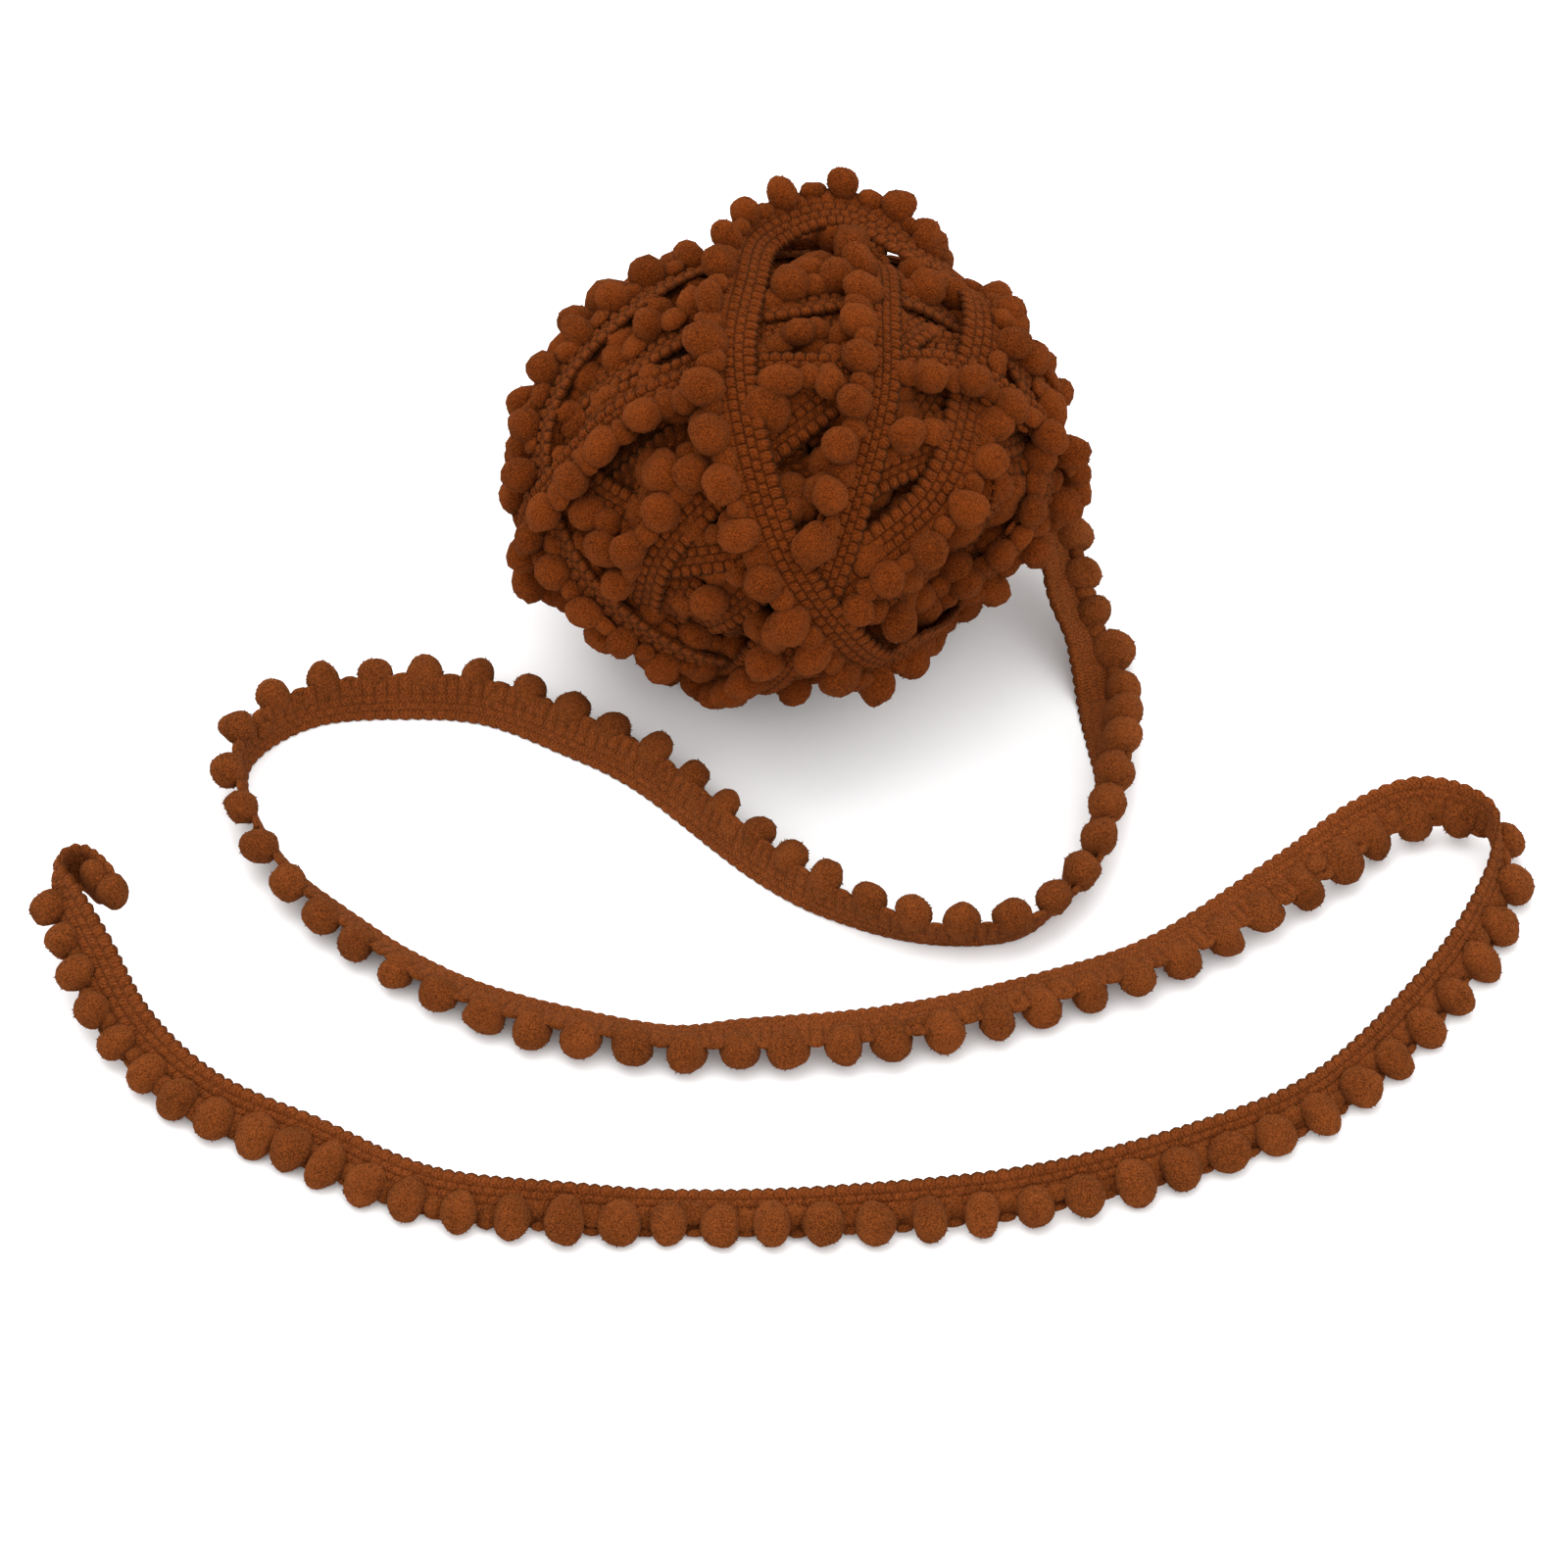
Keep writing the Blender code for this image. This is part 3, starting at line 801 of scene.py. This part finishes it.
def sewn_frames(path, distance, tuft):
    """Centre and frame of things sewn to the trim, true where it is folded too."""
    fit = path.fit(distance)
    w = path.drawn(distance, tuft.w * fit.spread + tuft.reach * fit.reach) * MM
    h = np.full(len(distance), tuft.h * MM)
    centre = path.place(distance, w, h)
    along = unit(path.place(distance + SEWN_NEAR, w, h) - path.place(distance - SEWN_NEAR, w, h))
    across = path.place(distance, w + SEWN_NEAR, h) - path.place(distance, w - SEWN_NEAR, h)
    normal = unit(np.cross(along, across))
    return centre, along, np.cross(normal, along), normal


def make_tufts(name, runs, tuft, material, slot, rng):
    """Soft lumps sewn along the trim: pompoms, lobes or knots, each a little different."""
    template, faces = tuft_shape(tuft.cuts)
    frames = [sewn_frames(path, distance, tuft) for path, distance, _ in runs]
    centre, along, across, normal = (np.vstack(part) for part in zip(*frames))
    soft = np.concatenate([np.full(len(distance), path.soft) for path, distance, _ in runs])
    fits = [path.fit(distance) for path, distance, _ in runs]
    fit = np.vstack([np.stack([fit.size, fit.size * fit.tall, fit.size], -1) for fit in fits])
    centre = centre - np.concatenate([sink for _, _, sink in runs])[:, None] * normal
    count = len(centre)
    centre = centre + rng.normal(0, PLACE_JITTER * tuft.jitter, (count, 3))
    turned = np.einsum("nij,pj->npi", random_turns(rng, count), template)
    radius = np.ones((count, len(template)))
    for _ in range(LUMP_WAVES):
        heading = unit(rng.normal(size=(count, 3))) * rng.uniform(*LUMP_RATES, (count, 1))
        offset = rng.uniform(0, 2 * math.pi, (count, 1))
        radius += tuft.lumps * np.sin(np.einsum("ni,npi->np", heading, turned) + offset)
    radius += rng.normal(0, ROUGH_SHARE * tuft.lumps, radius.shape)
    size = np.array(tuft.sizes) * MM * rng.normal(1.0, tuft.jitter, (count, 3)) * fit
    local = turned * radius[..., None] * size[:, None, :]
    local[..., 2] += tuft.lean * local[..., 1]
    points = (centre[:, None] + local[..., :1] * along[:, None] + local[..., 1:2] * across[:, None]
              + local[..., 2:] * normal[:, None])
    return joined_piece(name, settle(points, soft[:, None]), faces, material, rng)


def make_fuzz(name, row, kind, material, slot, rng):
    """Loose ends of the pile: short closed points that roughen a row of tufts."""
    template, faces = tuft_shape(kind.cuts)
    points = points_of(row.data).reshape(-1, len(template), 3)
    count = len(points) * kind.fibres
    tuft, face = rng.integers(0, len(points), count), rng.integers(0, len(faces), count)
    u, v = rng.uniform(0, 1, (2, count, 1))
    a, b, c, d = (points[tuft, faces[face, i]] for i in range(4))
    root = (1 - u) * ((1 - v) * a + v * b) + u * ((1 - v) * d + v * c)
    middle = points.mean(axis=1)[tuft]
    outward = unit(unit(root - middle) + rng.normal(0, FIBRE_STRAY, root.shape))
    clear = root[:, 2] + FIBRE_REACH * outward[:, 2] > FIBRE_CLEARANCE
    root, outward = root[clear], outward[clear]
    side = unit(np.cross(outward, rng.normal(size=root.shape)))
    angles = np.arange(3) * 2 * math.pi / 3
    ring = (np.cos(angles)[:, None] * side[:, None]
            + np.sin(angles)[:, None] * np.cross(outward, side)[:, None])
    root = root - outward * FIBRE_SINK
    tips = root + outward * rng.uniform(*FIBRE_LENGTHS, (len(root), 1))
    spikes = np.concatenate([root[:, None] + ring * FIBRE_RADIUS, tips[:, None]], axis=1)
    return joined_piece(name, spikes, SPIKE_FACES, material, rng)


def tuft_runs(paths, trim, between=False, laid=None, clearance=0.0):
    """Where each path carries its pompoms, or what is between them, and how far each sinks."""
    runs = []
    for i, path in enumerate(paths):
        count = pompoms_on(path, trim)
        steps = np.arange(count) + path.first_pompom + (0.5 if between else 0.0)
        distance = np.interp(steps / count, *path.crowding[::-1]) * path.length
        sink = np.zeros(count)
        if laid and i > 0:
            at = path.place(distance, *(np.full(count, part) for part in TUFT_MIDDLE))
            sink = depth_under(laid[:i], at, clearance, *TUFT_COVER)
        runs.append((path, distance, np.minimum(sink, TUFT_SINKS_MOST)))
    return runs


def unsunk(path, distance):
    """A single run of tufts that nothing covers."""
    return [(path, distance, np.zeros(len(distance)))]


def by_depth(runs):
    """The runs of the broadest turns, of the others that show and of the inner ones."""
    broad = [runs[i] for i in BROAD_TURNS]
    low = [run for i, run in enumerate(runs[:SHOWN_TURNS]) if i not in BROAD_TURNS]
    return broad, low, runs[SHOWN_TURNS:]


class Signal:
    """A shader value that takes part in arithmetic; each step adds its Math node."""

    def __init__(self, paint, socket):
        self.paint = paint
        self.socket = socket

    def _math(self, operation, first, second):
        made = self.paint.node("ShaderNodeMath", {"operation": operation}, {0: first, 1: second})
        return Signal(self.paint, made.outputs[0])

    def __add__(self, other):
        return self._math("ADD", self, other)

    __radd__ = __add__

    def __sub__(self, other):
        return self._math("SUBTRACT", self, other)

    def __rsub__(self, other):
        return self._math("SUBTRACT", other, self)

    def __mul__(self, other):
        return self._math("MULTIPLY", self, other)

    __rmul__ = __mul__

    def sine(self):
        return self._math("SINE", self, 0.0)

    def zigzag(self, half):
        return self._math("PINGPONG", self, half)

    def swing(self, contrast):
        """The value's distance from its middle, made stronger or weaker."""
        return (self - 0.5) * contrast

    def peaks(self, level):
        """0 below the level, rising steeply to 1 above it."""
        return ((self - level) * PEAK_SLOPE).clamped()

    def clamped(self):
        made = self.paint.node("ShaderNodeClamp", {}, {"Value": self})
        return Signal(self.paint, made.outputs[0])


class Paint:
    """A material being built from nodes."""

    def __init__(self, name, roughness, sheen=0.0, sheen_tint=WHITE, specular=0.01):
        self.material = bpy.data.materials.new(name)
        self.material.use_nodes = True
        self.tree = self.material.node_tree
        self.shader = self.tree.nodes["Principled BSDF"]
        even = {"Roughness": roughness, "Sheen Weight": sheen, "Sheen Roughness": SHEEN_ROUGHNESS,
                "Sheen Tint": sheen_tint, "Specular IOR Level": specular}
        for key, value in even.items():
            self.shader.inputs[key].default_value = value

    def node(self, kind, settings, inputs):
        made = self.tree.nodes.new(kind)
        for key, value in settings.items():
            setattr(made, key, value)
        for key, value in inputs.items():
            if isinstance(value, Signal):
                self.tree.links.new(value.socket, made.inputs[key])
            else:
                made.inputs[key].default_value = value
        return made

    def coordinates(self, output="Object"):
        return Signal(self, self.node("ShaderNodeTexCoord", {}, {}).outputs[output])

    def noise(self, scale, detail, roughness=0.5):
        made = self.node("ShaderNodeTexNoise", {}, {
            "Vector": self.coordinates(), "Scale": scale, "Detail": detail, "Roughness": roughness})
        return Signal(self, made.outputs["Fac"])

    def attribute(self, name):
        made = self.node("ShaderNodeAttribute", {"attribute_name": name}, {})
        return Signal(self, made.outputs["Fac"])

    def mix(self, factor, low, high):
        made = self.node("ShaderNodeMix", {"data_type": "RGBA"}, {0: factor, 6: low, 7: high})
        return Signal(self, made.outputs[2])

    def bump(self, height, strength, distance):
        made = self.node("ShaderNodeBump", {}, {
            "Height": height, "Strength": strength, "Distance": distance})
        return Signal(self, made.outputs["Normal"])

    def link(self, name, signal):
        self.tree.links.new(signal.socket, self.shader.inputs[name])


def scaled(colour, factor):
    return tuple(channel * factor for channel in colour[:3]) + (1.0,)


def pile_material(name, colour):
    """Velvety cut pile: short fibres that catch light at the rim."""
    paint = Paint(name, roughness=1.0, sheen=0.05, sheen_tint=WARM)
    cloud = paint.noise(scale=190, detail=2)
    fibre = paint.noise(scale=3300, detail=3, roughness=0.6)
    speck = paint.noise(scale=6200, detail=2, roughness=0.6)
    shade = paint.attribute("shade")
    tone = fibre.swing(3.2) + cloud.swing(0.8) + speck.swing(3.2) + shade.swing(0.3) + 0.5
    body = paint.mix(tone.clamped(), scaled(colour, 0.46), scaled(colour, 1.42))
    # Painted glints: bright specks mixed into the pile's colour.
    paint.link("Base Color", paint.mix(speck.peaks(0.60) * 0.35, body, scaled(colour, 2.0)))
    paint.link("Normal", paint.bump(fibre + speck * 0.7, strength=0.9, distance=0.4 * MM))
    return paint.material


def yarn_material(name, colour, groove):
    """Twisted yarn of the woven tape: stitches of a few strands, with painted shade in its grooves and
    painted glints.
    """
    paint = Paint(name, roughness=0.95, sheen=0.06, sheen_tint=WARM)
    layout = paint.node("ShaderNodeSeparateXYZ", {}, {0: paint.coordinates("UV")})
    run, across = (Signal(paint, layout.outputs[i]) for i in range(2))
    wander = paint.noise(scale=900, detail=2)
    cycles = run * STRANDS_PER_RIB + across.zigzag(SLANT_WIDTH) * 1.1 + wander * 0.9
    strands = (cycles * (2 * math.pi)).sine() * 0.5 + 0.5
    fibre = paint.noise(scale=2600, detail=4, roughness=0.65)
    speck = paint.noise(scale=4600, detail=2, roughness=0.6)
    cloud = paint.noise(scale=170, detail=2)
    tone = strands * 0.45 + fibre.swing(2.4) + speck.swing(2.2) + cloud.swing(0.6) + 0.34
    body = paint.mix(tone.clamped(), scaled(colour, 0.52), scaled(colour, 1.35))
    # Painted glints: bright specks of the colour at well above its own strength.
    with_painted_glints = paint.mix(speck.peaks(0.58) * 0.5, body, scaled(colour, 2.4))
    # Painted shade: where the relief value is low, the colour falls to the groove's share of itself.
    paint.link("Base Color", paint.mix(paint.attribute("relief"), scaled(colour, groove), with_painted_glints))
    height = strands * 0.5 + fibre + speck * 0.6
    paint.link("Normal", paint.bump(height, strength=0.9, distance=0.4 * MM))
    return paint.material


def core_material(name, colour):
    """What shows between the turns: yarn painted dark as deep shade."""
    paint = Paint(name, roughness=0.95)
    lump = paint.noise(scale=420, detail=3)
    # Painted deep shade: the yarn's colour at a tenth to under half its strength.
    paint.link("Base Color", paint.mix(lump, scaled(colour, 0.10), scaled(colour, 0.45)))
    paint.link("Normal", paint.bump(lump, strength=0.8, distance=1.5 * MM))
    return paint.material


class TrimSettings(PropertyGroup):
    """Sizes of the trim, the ball and the view."""

    pompom_pitch: FloatProperty(
        name="Pompom pitch", description="Distance from one pompom to the next along the tape",
        default=7.8 * MM, min=5 * MM, max=15 * MM, unit="LENGTH")
    rib_pitch: FloatProperty(
        name="Rib pitch", description="Distance from one crosswise rib of the tape to the next",
        default=1.95 * MM, min=1 * MM, max=4 * MM, unit="LENGTH")
    core_depth: FloatProperty(
        name="Core depth", description="How far the plain core lies below the ball's body",
        default=7.5 * MM, min=3 * MM, max=20 * MM, unit="LENGTH")
    camera_distance: FloatProperty(
        name="Camera distance", description="Distance from the camera to the middle of the view",
        default=1.35, min=0.3, max=5.0, unit="LENGTH")
    camera_height: FloatProperty(
        name="Camera height", description="Angle of the camera above the table",
        default=math.radians(48), min=0.0, max=math.pi / 2, subtype="ANGLE")
    view_width: FloatProperty(
        name="View width", description="Width of the table that the view takes in",
        default=0.256, min=0.05, max=2.0, unit="LENGTH")


def colour_property(name, description, red, green, blue):
    return FloatVectorProperty(name=name, description=description, subtype="COLOR", size=4,
                               default=(red, green, blue, 1.0), min=0.0, max=1.0)


class TrimColours(PropertyGroup):
    """Colours of the trim and of the stage."""

    pompom: colour_property("Pompom", "Colour of the tail's pompoms", 0.154, 0.0384, 0.0084)
    tape: colour_property("Tape", "Colour of the tail's yarn", 0.166, 0.0400, 0.0088)
    # The ball's colours are the tail's made darker and deeper: painted shade for the dimmer light on
    # the ball.
    ball_pompom: colour_property("Ball pompom", "Colour of the ball's pompoms", 0.134, 0.0272, 0.0042)
    ball_tape: colour_property("Ball tape", "Colour of the ball's yarn", 0.132, 0.0262, 0.0040)
    floor: colour_property("Floor", "Colour of the table", 0.90, 0.90, 0.90)


def settings(context):
    return context.scene.trim_settings, context.scene.trim_colours


class TRIM_OT_tail_pompoms(Operator):
    """Make what is sewn to the loose tail: its pompoms, the soft lobes and knots between them"""

    bl_idname = "trim.tail_pompoms"
    bl_label = "Tail pompoms"

    def execute(self, context):
        trim, colours = settings(context)
        rng = np.random.default_rng(SEED + 3)
        path = TailPath(trim.pompom_pitch)
        finish = (pile_material("tail pile", colours.pompom), "pompom", rng)
        row = make_tufts("tail_pompom_row", tuft_runs([path], trim), TAIL_POMPOM, *finish)
        _, between, _ = tuft_runs([path], trim, between=True)[0]
        between = between[~path.bare(between)]
        near, middle, far = np.split(between, END_LOBES)
        make_tufts("tail_lobes", unsunk(path, middle), TAIL_LOBE, *finish)
        make_tufts("tail_end_lobes", unsunk(path, near) + unsunk(path, far), END_LOBE, *finish)
        make_tufts("tail_knots", unsunk(path, between[:-KNOTLESS]), KNOT, *finish)
        end = path.length - np.array(END_POMPOMS) * MM
        make_tufts("tail_end_pompom", unsunk(path, end), END_POMPOM, *finish)
        make_fuzz("tail_fuzz", row, TAIL_POMPOM, *finish)
        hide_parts("tail_pompoms")
        return {"FINISHED"}


class TRIM_OT_tail_tape(Operator):
    """Make the loose tail's woven tape, which carries the pompoms already made"""

    bl_idname = "trim.tail_tape"
    bl_label = "Tail tape"

    def execute(self, context):
        trim, colours = settings(context)
        rng = np.random.default_rng(SEED + 1)
        path = TailPath(trim.pompom_pitch)
        yarn = yarn_material("tail yarn", colours.tape, TAIL_GROOVE_PAINTED_SHADE)
        tape = make_tape("tail_tape_cloth", [path], trim, yarn, TAIL_RIB_ROWS,
                         FULL_COLUMNS, rng)
        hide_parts("tail_tape")
        return {"FINISHED"}


class TRIM_OT_ball_tape(Operator):
    """Make the turns of tape wound into the ball"""

    bl_idname = "trim.ball_tape"
    bl_label = "Ball tape"

    def execute(self, context):
        trim, colours = settings(context)
        rng = np.random.default_rng(SEED + 2)
        turns, _ = lay_turns()
        yarn = yarn_material("ball yarn", colours.ball_tape, BALL_GROOVE_PAINTED_SHADE)
        pieces = [make_tape(name, turns[first:past], trim, yarn, rows, columns, rng)
                  for name, first, past, rows, columns in BALL_TAPES]
        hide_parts("wound_ball")
        return {"FINISHED"}


class TRIM_OT_ball_pompoms(Operator):
    """Make what is sewn to the ball's turns: pompoms, lobes and knots"""

    bl_idname = "trim.ball_pompoms"
    bl_label = "Ball pompoms"

    def execute(self, context):
        trim, colours = settings(context)
        rng = np.random.default_rng(SEED + 4)
        turns, laid = lay_turns()
        finish = (pile_material("ball pile", colours.ball_pompom), "ball", rng)
        broad, low, inner = by_depth(tuft_runs(turns, trim, False, laid, POMPOM_CLEARANCE))
        outer_row = make_tufts("ball_pompoms_outer", broad, BALL_POMPOM, *finish)
        low_row = make_tufts("ball_pompoms_low", low, LOW_POMPOM, *finish)
        make_tufts("ball_pompoms_inner", inner, INNER_POMPOM, *finish)
        gaps = tuft_runs(turns, trim, True, laid, LOBE_CLEARANCE)
        broad, low, inner = by_depth(gaps)
        make_tufts("ball_lobes_outer", broad, BALL_LOBE, *finish)
        make_tufts("ball_lobes_low", low, LOW_LOBE, *finish)
        make_tufts("ball_lobes_inner", inner, INNER_LOBE, *finish)
        make_tufts("ball_knots", gaps[:SHOWN_TURNS], KNOT, *finish)
        make_fuzz("ball_fuzz_outer", outer_row, BALL_POMPOM, *finish)
        make_fuzz("ball_fuzz_low", low_row, LOW_POMPOM, *finish)
        return {"FINISHED"}


class TRIM_OT_ball_core(Operator):
    """Make the plain middle, painted dark as deep shade, that closes the view between the turns"""

    bl_idname = "trim.ball_core"
    bl_label = "Ball core"

    def execute(self, context):
        trim, colours = settings(context)
        bm = round_cube(CORE_CUTS)
        bmesh.ops.scale(bm, vec=BODY_RADII - trim.core_depth, verts=bm.verts)
        bmesh.ops.translate(bm, vec=BALL_CENTRE, verts=bm.verts)
        mesh = mesh_of(bm, "ball_core")
        mesh.shade_smooth()
        new_piece("ball_core", mesh, core_material("ball core", colours.ball_tape))
        return {"FINISHED"}


class TRIM_OT_stage(Operator):
    """Set the table, the lights and the camera"""

    bl_idname = "trim.stage"
    bl_label = "Table, lights and camera"

    def execute(self, context):
        scene = context.scene
        self.add_table(scene.trim_colours.floor)
        scene.world = bpy.data.worlds.new("studio")
        scene.world.use_nodes = True
        background = scene.world.node_tree.nodes["Background"]
        background.inputs["Color"].default_value = WHITE
        background.inputs["Strength"].default_value = SURROUND_STRENGTH
        for name, place, size, power in LIGHTS:
            self.add_light(name, Vector(place), size, power)
        self.add_camera(scene, scene.trim_settings)
        scene.view_settings.view_transform = "Standard"
        return {"FINISHED"}

    @staticmethod
    def add_table(colour):
        bm = bmesh.new()
        bmesh.ops.create_grid(bm, x_segments=1, y_segments=1, size=TABLE_HALF)
        mesh = mesh_of(bm, "table")
        paint = Paint("table", roughness=0.9, specular=0.0)
        paint.shader.inputs["Base Color"].default_value = colour
        mesh.materials.append(paint.material)
        linked("table", mesh)

    @staticmethod
    def add_light(name, place, size, power):
        data = bpy.data.lights.new(name, "AREA")
        data.size = size
        data.energy = power
        light = linked(name, data)
        light.location = place
        light.rotation_euler = (Vector(LIGHTS_AIM) - place).to_track_quat("-Z", "Y").to_euler()

    @staticmethod
    def add_camera(scene, trim):
        back = Vector((0, -math.cos(trim.camera_height), math.sin(trim.camera_height)))
        data = bpy.data.cameras.new("camera")
        data.lens = data.sensor_width * trim.camera_distance / trim.view_width
        scene.camera = linked("camera", data)
        scene.camera.location = Vector(VIEW_MIDDLE) + back * trim.camera_distance
        scene.camera.rotation_euler = (-back).to_track_quat("-Z", "Y").to_euler()


class TRIM_PT_panel(Panel):
    """Sizes, colours and steps of the pompom trim"""

    bl_label = "Pompom Trim"
    bl_idname = "TRIM_PT_panel"
    bl_space_type = "VIEW_3D"
    bl_region_type = "UI"
    bl_category = "Trim"

    def draw(self, context):
        layout = self.layout
        for group in settings(context):
            for name in group.__annotations__:
                layout.prop(group, name)
        for operator in STEPS:
            layout.operator(operator.bl_idname)


STEPS = (TRIM_OT_stage, TRIM_OT_tail_pompoms, TRIM_OT_tail_tape, TRIM_OT_ball_tape,
         TRIM_OT_ball_pompoms, TRIM_OT_ball_core)
CLASSES = (TrimSettings, TrimColours) + STEPS + (TRIM_PT_panel,)


def register():
    for cls in CLASSES:
        bpy.utils.register_class(cls)
    bpy.types.Scene.trim_settings = PointerProperty(type=TrimSettings)
    bpy.types.Scene.trim_colours = PointerProperty(type=TrimColours)


def unregister():
    del bpy.types.Scene.trim_colours
    del bpy.types.Scene.trim_settings
    for cls in reversed(CLASSES):
        bpy.utils.unregister_class(cls)


def main():
    register()
    bpy.ops.trim.stage()
    bpy.ops.trim.tail_pompoms()
    bpy.ops.trim.tail_tape()
    bpy.ops.trim.ball_tape()
    bpy.ops.trim.ball_pompoms()
    bpy.ops.trim.ball_core()


if __name__ == "__main__":
    main()
